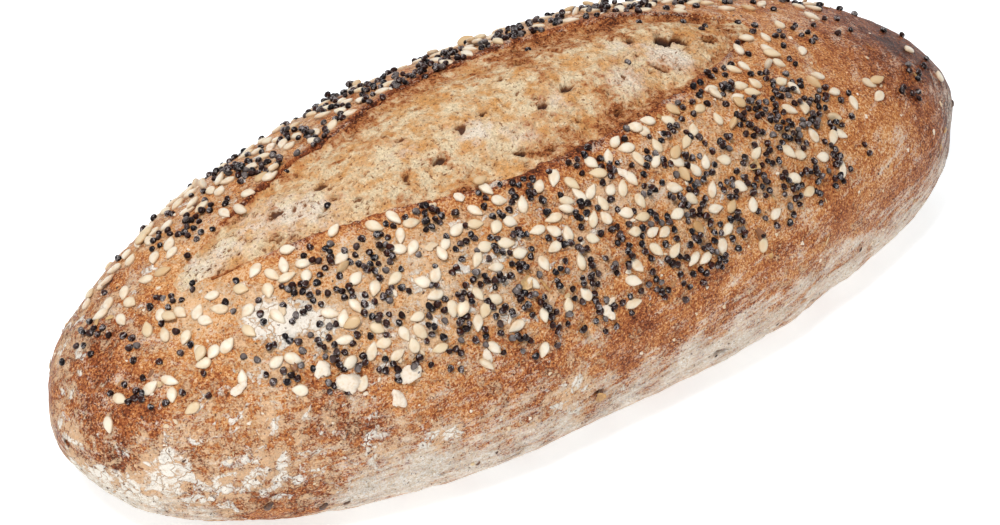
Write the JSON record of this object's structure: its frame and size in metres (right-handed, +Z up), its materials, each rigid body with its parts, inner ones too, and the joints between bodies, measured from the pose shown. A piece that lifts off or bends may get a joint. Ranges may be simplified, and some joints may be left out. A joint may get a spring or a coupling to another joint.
{
  "type": "seeded quark grain roll",
  "caption": "Oval grain roll with a flat base, one long score torn open along its top, and small seeds baked onto its crust.",
  "frame": {"origin": "centre of the flat underside that the roll rests on", "axes": "+X along the roll's length, +Y across it to the back, +Z up through the score"},
  "size_m": [0.19, 0.079, 0.0532],
  "materials": {
    "crust": "matt baked rye and wheat crust, browned above, floured and paler below",
    "crumb": "torn, toasted open crumb in the score, matt and porous",
    "sesame": "hulled ivory sesame, satin",
    "poppy": "purple-black poppy, satin, with a thin grey bloom",
    "flour": "dusty baked-on flour",
    "bran": "dry bran flakes and cracked grain"
  },
  "bodies": {
    "root": {"roll": "crust"}
  },
  "joints": []
}
